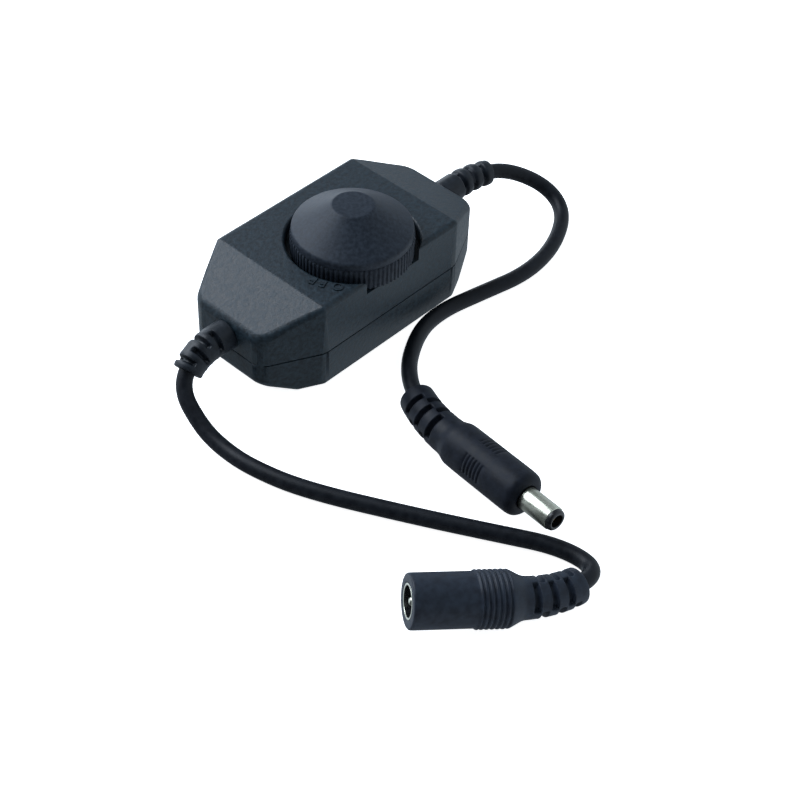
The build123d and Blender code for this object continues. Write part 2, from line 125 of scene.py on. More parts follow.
def addNode(tree, kind, inputs=None, settings=None, stops=()):  # one node with its settings, links and colour stops
    node = tree.nodes.new(kind)
    for name, value in (settings or {}).items():
        setattr(node, name, value)
    for name, value in (inputs or {}).items():
        if isinstance(value, bpy.types.NodeSocket):
            tree.links.new(value, node.inputs[name])
        else:
            node.inputs[name].default_value = value
    for index, (position, hexColour) in enumerate(stops):
        element = node.color_ramp.elements[index]
        element.position, element.color = position, linear(hexColour)
    return node


def startMaterial(name, fixed):  # a Principled shader with its constants, and Object coordinates
    material = bpy.data.materials.new(name)
    material.use_nodes = True
    tree = material.node_tree
    shader = tree.nodes["Principled BSDF"]
    for socket, value in fixed.items():
        shader.inputs[socket].default_value = value
    return material, tree, shader, addNode(tree, "ShaderNodeTexCoord").outputs["Object"]


def dressShader(tree, shader, patterns, look):  # patterns become colour, roughness and relief
    colourFrom, *stops = look["colour"]
    colour = addNode(tree, "ShaderNodeValToRGB", {"Fac": patterns[colourFrom]}, stops=stops)
    tree.links.new(colour.outputs["Color"], shader.inputs["Base Color"])
    roughFrom, smoothest, roughest = look["rough"]
    rough = addNode(tree, "ShaderNodeMapRange", {"Value": patterns[roughFrom], "From Min": 0.3, "From Max": 0.7,
                                                 "To Min": smoothest, "To Max": roughest})
    tree.links.new(rough.outputs["Result"], shader.inputs["Roughness"])
    under = {}
    for reliefFrom, depth, strength in look["relief"]:
        bump = addNode(tree, "ShaderNodeBump", {"Height": patterns[reliefFrom], "Distance": depth * mm,
                                                "Strength": strength, **under})
        under = {"Normal": bump.outputs["Normal"]}
    tree.links.new(under["Normal"], shader.inputs["Normal"])


def makeFinish(name, look):  # noise is (mm across a lump, detail, roughness), relief is (pattern, mm deep, strength)
    material, tree, shader, place = startMaterial(name, look["fixed"])
    patterns = {}
    for pattern, (across, detail, rough) in look["noise"].items():
        spot = place
        if pattern in look.get("stretch", {}):
            spot = addNode(tree, "ShaderNodeMapping", {"Vector": place, **look["stretch"][pattern]}).outputs["Vector"]
        patterns[pattern] = addNode(tree, "ShaderNodeTexNoise", {"Vector": spot, "Scale": 1.0 / (across * mm),
                                                                 "Detail": detail, "Roughness": rough}).outputs["Fac"]
    dressShader(tree, shader, patterns, look)
    return material


def caseAbs():  # spark-eroded mould grain: the eye sees a soft mottle that breaks up the sheen
    return makeFinish("caseAbs", {
        "fixed": {"IOR": 1.5, "Specular IOR Level": 0.32},
        "noise": {"mottle": (1.0, 3.0, 0.65), "fine": (0.35, 2.0, 0.5)},  # coarser than the real grain, to show
        "colour": ("mottle", (0.38, "#0A151C"), (0.62, "#17262F")),
        "rough": ("mottle", 0.4, 0.54),
        "relief": (("fine", 0.03, 0.6), ("mottle", 0.12, 0.7)),
    })


def knobAbs():  # the same plastic from a smoother mould, so its sheen runs further round the cone
    return makeFinish("knobAbs", {
        "fixed": {"IOR": 1.5, "Specular IOR Level": 0.14},
        "noise": {"mottle": (0.9, 3.0, 0.6)},
        "colour": ("mottle", (0.35, "#1B2129"), (0.65, "#282F38")),
        "rough": ("mottle", 0.42, 0.52),
        "relief": (("mottle", 0.05, 0.6),),
    })


def softVinyl(name, dark, light, smooth, rough, level):  # moulded PVC: satin, with faint flow marks
    return makeFinish(name, {
        "fixed": {"IOR": 1.53, "Specular IOR Level": level},
        "noise": {"flow": (1.6, 2.0, 0.5), "skin": (0.35, 2.0, 0.5)},
        "colour": ("flow", (0.3, dark), (0.7, light)),
        "rough": ("flow", smooth, rough),
        "relief": (("skin", 0.012, 0.5),),
    })


def brightNickel(name, heading, dull):  # turned and plated: fine rings round the axis draw out the highlight
    return makeFinish(name, {
        "fixed": {"Metallic": 1.0},
        "noise": {"rings": (0.25, 2.0, 0.5), "tarnish": (2.0, 2.0, 0.5)},  # rings drawn wider than real, to show
        "stretch": {"rings": {"Rotation": (0.0, 0.0, math.radians(-heading)), "Scale": (1.0, 0.04, 0.04)}},
        "colour": ("tarnish", (0.3, "#BCBEAE"), (0.7, "#D1D2C4")),
        "rough": ("rings", dull, dull + 0.1),
        "relief": (("rings", 0.002, 0.2),),
    })


def plainInside(name, dark, light, grain, smooth, rough, metal=0.0):  # small parts: an even, faint mottle
    return makeFinish(name, {
        "fixed": {"Metallic": metal},
        "noise": {"mottle": (grain, 3.0, 0.6)},
        "colour": ("mottle", (0.3, dark), (0.7, light)),
        "rough": ("mottle", smooth, rough),
        "relief": (("mottle", 0.01, 0.5),),
    })


def boardLaminate():  # green solder mask over copper tracks, which show as paler bands with a raised edge
    material, tree, shader, place = startMaterial("boardLaminate", {"IOR": 1.5})
    trackPitch = 3.927  # mm along the board's side, from track to track
    tracks = addNode(tree, "ShaderNodeTexWave", {"Vector": place, "Scale": 2 * math.pi / (10 * trackPitch * mm),
                                                 "Distortion": 3.0, "Detail": 1.0}, {"bands_direction": "DIAGONAL"})
    dressShader(tree, shader, {"tracks": tracks.outputs["Fac"]}, {
        "colour": ("tracks", (0.45, "#0E4A2A"), (0.55, "#1F6B3C")),
        "rough": ("tracks", 0.3, 0.42),
        "relief": (("tracks", 0.03, 0.5),),
    })
    return material


headingPlug = 262.52  # degrees, the way that the barrel points
headingJack = -36.63  # degrees, from the mouth to the tail
caseFinish = caseAbs()
knobFinish = knobAbs()
bootFinish = softVinyl("bootVinyl", "#0F141A", "#1A2027", 0.38, 0.5, 0.22)
gripFinish = softVinyl("gripVinyl", "#1B2029", "#252D38", 0.42, 0.54, 0.18)
plugFinish = softVinyl("plugVinyl", "#0D1118", "#181D26", 0.44, 0.56, 0.12)
cordFinish = softVinyl("cordVinyl", "#0A0D13", "#13171D", 0.4, 0.52, 0.15)
plugNickel = brightNickel("plugNickel", headingPlug, 0.24)
jackNickel = brightNickel("jackNickel", headingJack, 0.1)
# black nylon for the plug's tip and the jack's base, and painted shade on the jack socket's inner wall
nylonAndShadeFinish = plainInside("tipNylonAndSocketShade", "#0B0C0E", "#15171A", 0.8, 0.22, 0.34)
brassFinish = plainInside("contactBrass", "#A9853F", "#CBA75A", 0.6, 0.22, 0.36, 1.0)
print("finishes made")

for lead in (inputLead, outputLead):
    lead.data.materials.append(cordFinish)


def linkMesh(name, bm):  # the bmesh as an object of the scene
    mesh = bpy.data.meshes.new(name)
    bm.to_mesh(mesh)
    bm.free()
    piece = bpy.data.objects.new(name, mesh)
    scene.collection.objects.link(piece)
    return piece


def toMetres(bm):
    bmesh.ops.scale(bm, vec=(mm, mm, mm), verts=bm.verts)


def finishPiece(name, bm, finish, nodes, body="case", place=None, levels=0, sharp=None, inMm=True):
    if place:
        bm.transform(place)
    if inMm:
        toMetres(bm)
    bmesh.ops.remove_doubles(bm, verts=bm.verts, dist=1e-7)
    bmesh.ops.recalc_face_normals(bm, faces=bm.faces)
    piece = linkMesh(name, bm)
    mesh = piece.data
    mesh.polygons.foreach_set("use_smooth", [True] * len(mesh.polygons))
    if sharp:
        mesh.set_sharp_from_angle(angle=math.radians(sharp))
    mesh.materials.append(finish)
    if levels:
        soften = piece.modifiers.new("soften", "SUBSURF")
        soften.levels = soften.render_levels = levels
    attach(piece, body)
    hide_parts(*nodes)
    return piece


def turnProfile(points, steps, rounding=4):  # (along, radius, corner) points turned round the X axis, in mm
    bm = bmesh.new()
    verts = [bm.verts.new((point[0], point[1], 0)) for point in points]
    for pair in zip(verts, verts[1:]):
        bm.edges.new(pair)
    for vert, point in zip(verts, points):
        if len(point) > 2:
            bmesh.ops.bevel(bm, geom=[vert], offset=point[2], offset_type="OFFSET", segments=rounding,
                            profile=0.5, affect="VERTICES", clamp_overlap=True, material=-1)
    bmesh.ops.spin(bm, geom=bm.verts[:] + bm.edges[:], cent=(0, 0, 0), axis=(1, 0, 0),
                   angle=2 * math.pi, steps=steps, use_merge=True)
    bmesh.ops.remove_doubles(bm, verts=bm.verts, dist=0.001)
    bmesh.ops.recalc_face_normals(bm, faces=bm.faces)
    return bm


def cutPocket(bm, start, end, angle, half, depth):  # presses a hollow into a turned piece
    rim, core = 0.08, 2.0  # the hollow's sloping edge, and what of the piece's middle it leaves alone

    def inside(face):
        middle = face.calc_center_median()
        turn = (math.degrees(math.atan2(middle.z, middle.y)) - angle + 180) % 360 - 180
        return start < middle.x < end and abs(turn) < half and math.hypot(middle.y, middle.z) > core

    faces = [face for face in bm.faces if inside(face)]
    bmesh.ops.inset_region(bm, faces=faces, thickness=rim, depth=-depth, use_even_offset=True, use_boundary=True)


def tailProfile(start, slots, sizes):  # a tapering tail with a ring at each side of every slot
    length, width, groove = sizes["tail"], sizes["slotWidth"], sizes["groove"]
    first, last = sizes["tailRadii"]
    edge, lip = 0.14, 0.3  # the run of a slot's side, and of the tail's rounded end

    def radius(reach):
        return first + (last - first) * reach / length

    points = []
    for middle, after in zip(slots, slots[1:] + [length - lip + width / 2]):
        near, far = middle - width / 2, middle + width / 2
        ring = (far + after - width / 2) / 2
        points += [(start + near, radius(near)), (start + near + edge, radius(near) - groove),
                   (start + far - edge, radius(far) - groove), (start + far, radius(far)),
                   (start + ring, radius(ring) + sizes["bulge"])]
    end = start + length
    return points + [(end - lip, last), (end - 0.06, last - 0.04), (end, last - 0.2), (end, last - 0.8),
                     (end, 1.6), (end, 0)]  # rounded off, then flat


def turnTailed(profile, start, sizes):  # a turned piece with a tail, whose slots lie by turns on two sets of sides
    slots = [sizes["slotStart"] + sizes["slotPitch"] * step for step in range(sizes["slots"])]
    reach = sizes["slotWidth"] / 2
    margin = 0.1
    bm = turnProfile(profile + tailProfile(start, slots, sizes), sizes["steps"])
    for step, middle in enumerate(slots):
        for turn in sizes["slotTurns"][step % 2]:
            cutPocket(bm, start + middle - reach + margin, start + middle + reach - margin, turn,
                      sizes["slotHalf"][step % 2], sizes["slotDepth"])
    return bm


def curlTail(bm, start, sizes):  # rolls the slots to their side and curls what lies past start towards +Y
    bm.transform(Matrix.Rotation(math.radians(90 + sizes["roll"]), 4, "X"))
    radius = sizes["tail"] / math.radians(sizes["bend"])
    for vert in bm.verts:
        if vert.co.x > start:
            turn = (vert.co.x - start) / radius
            reach = radius - vert.co.y
            vert.co = (start + reach * math.sin(turn), radius - reach * math.cos(turn), vert.co.z)


def axes(origin, x, y, z):  # a place from its three directions
    place = Matrix((Vector(x).normalized(), Vector(y).normalized(), Vector(z).normalized())).transposed().to_4x4()
    place.translation = origin
    return place


boots = {
    "shared": {
        "end": 36.5, "height": 14.0, "neck": 2.8, "flange": 4.2, "flangeDepth": 1.5, "flangeTop": 16.7, "wall": 2.0,
        "roll": 0.0, "slotStart": 0.675, "slotWidth": 1.35, "bulge": 0.1, "steps": 40,
    },
    "inputBoot": {
        "node": "input_boot", "side": -1, "collar": 4.0, "tail": 9.6, "bend": 36.0, "towards": (0, -0.3, -0.95),
        "tailRadii": (3.75, 3.5), "groove": 0.0,
        "slots": 4, "slotPitch": 2.4, "slotDepth": 1.55, "slotHalf": (42.0, 68.0), "slotTurns": ((26, 206), (92,)),
    },
    "outputBoot": {
        "node": "output_boot", "side": 1, "collar": 6.0, "tail": 11.0, "bend": 15.0, "towards": (0, -0.8, -0.6),
        "tailRadii": (3.6, 3.2), "groove": 0.8,
        "slots": 3, "slotPitch": 11.0 / 3, "slotDepth": 0.6, "slotHalf": (46.0, 46.0),
        "slotTurns": ((0, 180), (90, 270)),
    },
}


def makeBoot(name):
    sizes = {**boots["shared"], **boots[name]}
    side, collar, radius, soft = sizes["side"], sizes["collar"], sizes["tailRadii"][0], 0.2
    neck, flange, wall, end = sizes["neck"], sizes["flange"], sizes["wall"], sizes["end"]
    inner = -wall - sizes["flangeDepth"]
    profile = [(inner, 0), (inner, flange - soft), (inner + soft, flange), (-wall - 0.1, flange), (-wall, neck + soft),
               (-wall + soft, neck), (-soft, neck), (0, neck + soft), (0.0, radius - soft), (0.15, radius),
               (0.6, radius), (collar / 2, radius), (collar - 0.5, radius)]
    bm = turnTailed(profile, collar, sizes)
    curlTail(bm, collar, sizes)
    out = Vector((side, 0, 0))
    across = out.cross(Vector(sizes["towards"]))
    bm.transform(axes((side * end, 0, sizes["height"]), out, sizes["towards"], across))
    for vert in bm.verts:  # the flange is flat on top, under the sloping roof
        if abs(vert.co.x) < end - wall + 0.01:
            vert.co.z = min(vert.co.z, sizes["flangeTop"])
    finishPiece(name, bm, bootFinish, [sizes["node"]], levels=2)


makeBoot("inputBoot")
makeBoot("outputBoot")
print("boots made")


plug = {
    "neck": (-18.19, -53.93), "tilt": 4.2,
    "radius": 5.5, "neckRadius": 4.6, "flare": 2.6, "front": 24.8, "steps": 72,
    "tail": 15.8, "tailRadii": (4.6, 4.2), "bend": 20.0, "roll": -45.0, "groove": 0.0, "bulge": 0.03,
    "slotStart": 3.4, "slotPitch": 2.08, "slots": 5, "slotWidth": 1.8, "slotDepth": 1.6, "slotHalf": (45.0, 45.0),
    "slotTurns": ((0, 180), (90, 270)),
    "grips": 6, "gripStart": 6.4, "gripPitch": 1.05, "gripDepth": 0.22, "gripHalf": 26.0, "gripTurn": 69.0,
    "barrel": (2.75, 8.5), "bore": 2.15, "tip": (2.5, 1.1), "liner": 12.0,  # barrel and tip are radius and length
    "contact": (1.55, 1.1), "contactBore": 12.0, "contactLength": 15.0, "setback": 1.6, "socket": 5.0, "root": 4.9,
}
raised = math.radians(plug["tilt"])
plugRest = plug["radius"] * math.cos(raised) - plug["flare"] * math.sin(raised)  # lies on the rear edge of its body
plugPlace = (Matrix.Translation((*plug["neck"], plugRest)) @ Matrix.Rotation(math.radians(headingPlug + 180), 4, "Z")
             @ Matrix.Rotation(raised, 4, "Y") @ Matrix.Rotation(math.pi, 4, "X"))  # X runs back to the tail


def makePlugBody(sizes):
    front, radius, neck, flare = -sizes["front"], sizes["radius"], sizes["neckRadius"], sizes["flare"]
    bore, depth, half = sizes["barrel"][0], sizes["socket"], sizes["gripPitch"] * 0.5
    grooves = [-flare - sizes["gripStart"] - sizes["gripPitch"] * step for step in range(sizes["grips"])]
    profile = [(front + depth, 0), (front + depth, bore), (front + 0.3, bore), (front, 2.9), (front, 3.3),
               (front + 0.08, 4.0), (front + 0.5, 4.9), (front + 1.2, 5.35), (front + 2.2, radius), (front + 6, radius)]
    for start in reversed(grooves):
        profile += [(start - half, radius), (start, radius)]
    profile += [(-flare - 0.35, radius), (-flare + 0.3, radius - 0.1), (-0.45, neck + 0.1), (0.3, neck)]
    bm = turnTailed(profile, 0, sizes)
    for start in grooves:
        for quarter in range(4):
            cutPocket(bm, start - half, start, sizes["gripTurn"] + 90 * quarter, sizes["gripHalf"], sizes["gripDepth"])
    curlTail(bm, 0, sizes)
    return finishPiece("plugBody", bm, plugFinish, ["plug_body"], place=plugPlace, levels=2)


def makePlugBarrel(sizes):
    front, (radius, length), bore = -sizes["front"], sizes["barrel"], sizes["bore"]
    root, held = front + sizes["root"], radius - 0.25
    profile = [(root, bore), (root, held), (front + 0.2, held, 0.08), (front - 0.1, radius, 0.1),
               (front - length, radius, 0.18), (front - length, bore), (root, bore)]
    bm = turnProfile(profile, 96)
    return finishPiece("plugBarrel", bm, plugNickel, ["plug_barrel"], place=plugPlace, sharp=35)


def makePlugTip(sizes):
    (radius, length), hole, bore = sizes["tip"], sizes["contact"][0], sizes["bore"]
    end = -sizes["front"] - sizes["barrel"][1] - length
    root = end + sizes["liner"]
    profile = [(root, hole), (root, bore), (end + length, bore), (end + length, radius + 0.08, 0.05),
               (end, radius - 0.05, 0.5), (end, hole, 0.15), (root, hole)]
    bm = turnProfile(profile, 96)
    return finishPiece("plugTip", bm, nylonAndShadeFinish, ["plug_insulator"], place=plugPlace, sharp=40)


def makePlugContact(sizes):
    end = -sizes["front"] - sizes["barrel"][1] - sizes["tip"][1] + sizes["setback"]
    (outer, bore), bottom, root = sizes["contact"], end + sizes["contactBore"], end + sizes["contactLength"]
    profile = [(root, 0), (root, outer), (end, outer, 0.08), (end, bore, 0.2), (bottom, bore, 0.2), (bottom, 0)]
    bm = turnProfile(profile, 64)
    return finishPiece("plugContact", bm, brassFinish, ["plug_contact"], place=plugPlace, sharp=40)


plugPieces = [makePlugBody(plug), makePlugBarrel(plug), makePlugTip(plug), makePlugContact(plug)]
print("plug made")


jack = {
    "mouth": (-61.95, -80.83), "tilt": 8.0,
    "radius": 5.9, "ribRadius": 6.25, "neckRadius": 4.6, "body": 14.0, "neck": 24.2, "lastRib": 22.3, "steps": 72,
    "ribs": 6.9, "ribCount": 6, "ribDepth": 0.42, "ribGap": 0.35,  # the gap is a share of the pitch
    "tail": 13.4, "tailRadii": (4.6, 4.05), "bend": 26.0, "roll": 42.0, "groove": 0.0, "bulge": 0.03,
    "slotStart": 2.1, "slotPitch": 1.77, "slots": 6, "slotWidth": 1.65, "slotDepth": 1.5, "slotHalf": (45.0, 45.0),
    "slotTurns": ((0, 180), (90, 270)),
    "socket": 3.3, "sleeve": 0.5, "rim": 0.05, "depth": 9.5, "base": 2.0, "pin": 1.0, "pinSetback": 0.3, "pinRoot": 1.0,
}
tilt = math.radians(jack["tilt"])
jackRest = jack["lastRib"] * math.sin(tilt) + jack["ribRadius"] * math.cos(tilt)  # lies on its last rib
jackPlace = (Matrix.Translation((*jack["mouth"], jackRest)) @ Matrix.Rotation(math.radians(headingJack), 4, "Z")
             @ Matrix.Rotation(tilt, 4, "Y"))


def makeJackBody(sizes):
    radius, rib, neck, body = sizes["radius"], sizes["ribRadius"], sizes["neckRadius"], sizes["body"]
    bore, bottom = sizes["socket"] + sizes["sleeve"], sizes["depth"] + sizes["base"]
    ribsEnd, neckAt = body + sizes["ribs"], sizes["neck"]
    profile = [(bottom, 0), (bottom, bore - 0.2), (bottom - 0.2, bore), (0.7, bore), (0.2, bore + 0.02),
               (0.02, bore + 0.2), (0, bore + 0.7), (0, radius - 0.5), (0.1, radius - 0.16), (0.4, radius),
               (1.2, radius), (body / 2, radius), (body - 0.5, radius), (body - 0.1, radius + 0.02), (body + 0.2, rib)]
    pitch, groove = sizes["ribs"] / sizes["ribCount"], rib - sizes["ribDepth"]
    for step in range(sizes["ribCount"]):
        near = body + pitch * (step + 0.45)
        far = near + pitch * sizes["ribGap"]
        profile += [(near - 0.1, rib), (near + 0.08, groove), (far - 0.08, groove), (far + 0.1, rib)]
    profile += [(ribsEnd + 0.3, rib - 0.15), ((ribsEnd + neckAt) / 2, (rib + neck) / 2),
                (neckAt - 0.5, neck + 0.2), (neckAt + 0.3, neck)]
    bm = turnTailed(profile, neckAt, sizes)
    curlTail(bm, neckAt, sizes)
    return finishPiece("jackBody", bm, gripFinish, ["jack_body"], place=jackPlace, levels=2)


def makeJackSleeve(sizes):
    depth, rim, inner, outer = sizes["depth"], sizes["rim"], sizes["socket"], sizes["socket"] + sizes["sleeve"]
    profile = [(depth, inner), (depth, outer), (rim, outer, 0.05), (rim, inner, 0.1), (depth, inner)]
    bm = turnProfile(profile, 96)
    for face in bm.faces:  # painted shade: the socket's inner wall takes the dark nylon finish to stand in for the shade inside it, so only the rim shows nickel
        middle = face.calc_center_median()
        face.material_index = int(math.hypot(middle.y, middle.z) < inner + 0.02 and middle.x > 0.5)
    piece = finishPiece("jackSleeve", bm, jackNickel, ["jack_sleeve"], place=jackPlace, sharp=40)
    # the second slot is painted shade on the socket's inner wall
    piece.data.materials.append(nylonAndShadeFinish)
    return piece


def makeJackBase(sizes):
    depth, outer = sizes["depth"], sizes["socket"] + sizes["sleeve"]
    bottom, step = depth + sizes["base"], depth - 0.3
    profile = [(bottom, 0), (bottom, outer), (depth, outer), (depth, 1.6, 0.1), (step, 1.4, 0.1), (step, 0)]
    bm = turnProfile(profile, 64)
    return finishPiece("jackBase", bm, nylonAndShadeFinish, ["jack_base"], place=jackPlace, sharp=40)


def makeJackPin(sizes):
    root, radius, end = sizes["depth"] + sizes["pinRoot"], sizes["pin"], sizes["pinSetback"]
    bm = turnProfile([(root, 0), (root, radius), (end, radius, 0.85), (end, 0)], 48, 6)
    return finishPiece("jackPin", bm, jackNickel, ["jack_pin"], place=jackPlace, sharp=50)


jackPieces = [makeJackBody(jack), makeJackSleeve(jack), makeJackBase(jack), makeJackPin(jack)]
print("jack made")

for lead, node, end, pieces in ((inputLead, "input_cord", "connector", jackPieces),
                                (outputLead, "output_cord", "plug", plugPieces)):
    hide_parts(node)


knob = {
    "centre": (0.0, -4.7, 0.0),
    "radius": 14.8, "ridges": 80, "ridgeDepth": 0.27,
    "ridgePlan": ((0.0, 1.0), (0.16, 0.9), (0.3, 0.16), (0.42, 0.0),  # share of the pitch, share of the depth
                  (0.58, 0.0), (0.7, 0.16), (0.84, 0.9), (1.0, 1.0)),
    "ridgeTop": 0.35, "ridgeLean": 0.985, "inward": 0.94, "core": 0.7,  # the band's rows, and the crown inside it
    "base": 20.5, "bandTop": 25.9, "rim": 27.9, "top": 34.1, "rimRadius": 14.55, "discRadius": 5.3, "hollow": 0.35,
}


def makeKnob(sizes):
    bm = bmesh.new()
    radius, count, base, bandTop = sizes["radius"], sizes["ridges"], sizes["base"], sizes["bandTop"]
    row = []
    for share, low in sizes["ridgePlan"]:  # one ridge, from groove to groove
        turn = 2 * math.pi * share / count
        reach = radius - low * sizes["ridgeDepth"]
        row.append(bm.verts.new((reach * math.cos(turn), reach * math.sin(turn), base)))
    foot = [bm.edges.new(pair) for pair in zip(row, row[1:])]

    def raiseRow(edges, lift, shrink):
        made = bmesh.ops.extrude_edge_only(bm, edges=edges)["geom"]
        verts = [g for g in made if isinstance(g, bmesh.types.BMVert)]
        bmesh.ops.scale(bm, vec=(shrink, shrink, 1), verts=verts)
        bmesh.ops.translate(bm, vec=(0, 0, lift), verts=verts)
        return [g for g in made if isinstance(g, bmesh.types.BMEdge) and all(v in verts for v in g.verts)]

    height, lean, inward = bandTop - base, sizes["ridgeLean"], sizes["inward"]
    raiseRow(foot, 0, inward)
    shoulder = raiseRow(foot, height - sizes["ridgeTop"], 1.0)
    crest = raiseRow(shoulder, sizes["ridgeTop"], lean)
    inner = raiseRow(crest, 0, inward)
    raiseRow(inner, -height, 1 / lean)  # meets the foot, so that the band is closed
    bmesh.ops.spin(bm, geom=bm.verts[:] + bm.edges[:] + bm.faces[:], cent=(0, 0, 0), axis=(0, 0, 1),
                   angle=2 * math.pi * (count - 1) / count, steps=count - 1, use_duplicate=True)
    bmesh.ops.remove_doubles(bm, verts=bm.verts, dist=0.002)
    rimAt, rim, top, disc = sizes["rim"], sizes["rimRadius"], sizes["top"], sizes["discRadius"]
    core, hollow = radius - sizes["core"], sizes["hollow"]
    middle = ((rimAt + top) / 2 - hollow, (rim + disc) / 2 - hollow)
    profile = [(base + 0.1, 0), (base + 0.1, core), (bandTop - 0.1, core), (bandTop - 0.1, rim - 0.3),
               (bandTop + 0.1, rim, 0.08), (rimAt - 0.4, rim, 0.3), (rimAt, rim - 0.25, 0.2),
               (*middle, 4.6), (top - 0.2, disc, 0.14), (top, disc - 0.4, 0.14), (top, 0)]
    crown = turnProfile(profile, 160, 6)
    crown.transform(Matrix.Rotation(math.radians(-90), 4, "Y"))  # the axis stands up
    crownMesh = bpy.data.meshes.new("crown")
    crown.to_mesh(crownMesh)
    crown.free()
    bm.from_mesh(crownMesh)
    bpy.data.meshes.remove(crownMesh)
    finishPiece("dimmerKnob", bm, knobFinish, ["knob"], body="knob",
                place=Matrix.Translation(sizes["centre"]), sharp=32)


makeKnob(knob)
print("knob made")


shells = {
    "recess": (0.0, -4.7, 15.95),  # middle and radius of the knob's recess, mm
    "floor": 20.1, "top": 24.0, "lip": 0.45, "lipRound": 0.95,
    "plan": ((22.3, 18.0), (36.5, 10.8)),  # a quarter of the eight-sided outline
    "slopes": (((22.3, 24.0), (0.378, 0.926)), ((28.5, 0.0), (0.447, -0.894))),  # a point in each, and its facing
    "soft": 1.8, "corner": 2.8, "proud": 0.02,
}


def cadCopy(node):  # the node's own mesh, with its loose triangles joined up and its flat faces made whole
    bm = bmesh.new()
    bm.from_mesh(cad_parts[node].data)
    bmesh.ops.remove_doubles(bm, verts=bm.verts, dist=2e-6)
    bmesh.ops.dissolve_limit(bm, angle_limit=math.radians(0.3), verts=bm.verts, edges=bm.edges)
    return bm


def lipEdges(bm, sizes):  # the edges where the recess leaves the case
    x, y, radius = (v * mm for v in sizes["recess"])
    floor, onWall, onFloor, middle = sizes["floor"], 2e-5, 0.01, 6 * mm  # what counts as near, and the shaft's hole
    found = []
    for edge in bm.edges:
        far = [math.hypot(v.co.x - x, v.co.y - y) for v in edge.verts]
        heights = [v.co.z / mm for v in edge.verts]
        outside = max(far) > radius + onWall or min(far) < middle or min(heights) < floor - onFloor
        if outside or len(edge.link_faces) != 2:
            continue
        corner = all(abs(f - radius) < onWall for f in far) and all(abs(h - floor) < onFloor for h in heights)
        if not corner and edge.calc_face_angle() > math.radians(35):
            found.append(edge)
    return found


def makeSoftForm(sizes):  # the case's outer form with the softer corners that the photo shows
    bm = bmesh.new()
    quarter, proud = list(sizes["plan"]), sizes["proud"]
    outline = quarter + [(x, -y) for x, y in reversed(quarter)]
    outline += [(-x, -y) for x, y in outline]
    base = bm.faces.new([bm.verts.new((x, y, -proud)) for x, y in outline])
    made = bmesh.ops.extrude_face_region(bm, geom=[base])["geom"]
    lifted = [g for g in made if isinstance(g, bmesh.types.BMVert)]
    bmesh.ops.translate(bm, vec=(0, 0, sizes["top"] + 2 * proud), verts=lifted)
    for side in (1, -1):
        for (x, z), (outward, upward) in sizes["slopes"]:
            spot = (side * (x + outward * proud), 0, z + upward * proud)
            cut = bmesh.ops.bisect_plane(bm, geom=bm.verts[:] + bm.edges[:] + bm.faces[:], dist=1e-5, plane_co=spot,
                                         plane_no=(side * outward, 0, upward), clear_outer=True)["geom_cut"]
            bmesh.ops.contextual_create(bm, geom=[g for g in cut if isinstance(g, bmesh.types.BMEdge)])
    width, length = quarter[0][1], quarter[1][0]
    bmesh.ops.scale(bm, vec=(1 + proud / length, 1 + proud / width, 1), verts=bm.verts)
    bmesh.ops.recalc_face_normals(bm, faces=bm.faces)

    def rounded(offset, fits):  # rounds the edges whose two faces' tilts fit
        bm.normal_update()
        edges = []
        for edge in bm.edges:
            flat, steep = sorted((abs(face.normal.z) for face in edge.link_faces), reverse=True)
            if edge.calc_face_angle() > math.radians(15) and fits(flat, steep, edge):
                edges.append(edge)
        bmesh.ops.bevel(bm, geom=edges, offset=offset, offset_type="OFFSET", segments=8, profile=0.5,
                        affect="EDGES", clamp_overlap=False, material=-1)

    rounded(sizes["corner"], lambda flat, steep, edge: flat < 0.1 and edge.calc_face_angle() > math.radians(45))
    rounded(sizes["soft"], lambda flat, steep, edge: steep < 0.5 and not flat > 0.99)  # creases and square edges stay
    toMetres(bm)
    return linkMesh("softForm", bm)


def makeLipRing(sizes):  # a ring whose outer side is the rounded lip of the recess
    x, y, radius = sizes["recess"]
    lip, high = sizes["lipRound"], sizes["top"] + sizes["proud"]
    inside, above, wall = radius - 1, high + 1, radius + 0.03  # clear of the recess wall's own facets
    arc = [math.radians(90 * step / 8) for step in range(9)]
    profile = [(above, inside), (high - lip, inside)]
    profile += [(high - lip + lip * math.sin(t), wall + lip - lip * math.cos(t)) for t in arc]
    profile += [(above, wall + lip), (above, inside)]
    bm = turnProfile(profile, 180)
    bm.transform(Matrix.Rotation(math.radians(-90), 4, "Y"))
    bmesh.ops.translate(bm, vec=(x, y, 0), verts=bm.verts)
    toMetres(bm)
    bmesh.ops.recalc_face_normals(bm, faces=bm.faces)
    return linkMesh("lipRing", bm)


def trimTo(form, bm, ring=None):  # what of a shell lies inside the form and outside the ring
    shell = linkMesh("shell", bm)
    for operation, cutter in (("INTERSECT", form), ("DIFFERENCE", ring)):
        if cutter:
            trim = shell.modifiers.new("trim", "BOOLEAN")
            trim.operation, trim.solver, trim.object = operation, "EXACT", cutter
    left = bpy.data.meshes.new_from_object(shell.evaluated_get(bpy.context.evaluated_depsgraph_get()))
    bpy.data.objects.remove(shell)
    made = bmesh.new()
    made.from_mesh(left)
    bpy.data.meshes.remove(left)
    return made


def makeShell(name, node, form, ring=None):
    bm = cadCopy(node)
    if ring:
        bmesh.ops.bevel(bm, geom=lipEdges(bm, shells), offset=shells["lip"] * mm, offset_type="OFFSET", segments=4,
                        profile=0.5, affect="EDGES", clamp_overlap=True, material=-1)
    piece = finishPiece(name, trimTo(form, bm, ring), caseFinish, [node], sharp=32, inMm=False)
    flat = piece.modifiers.new("flatFaces", "WEIGHTED_NORMAL")
    flat.keep_sharp = True


softForm = makeSoftForm(shells)
lipRing = makeLipRing(shells)
makeShell("upperCase", "upper_shell", softForm, lipRing)
makeShell("lowerCase", "lower_shell", softForm)
for cutter in (softForm, lipRing):
    bpy.data.objects.remove(cutter)
print("case made")


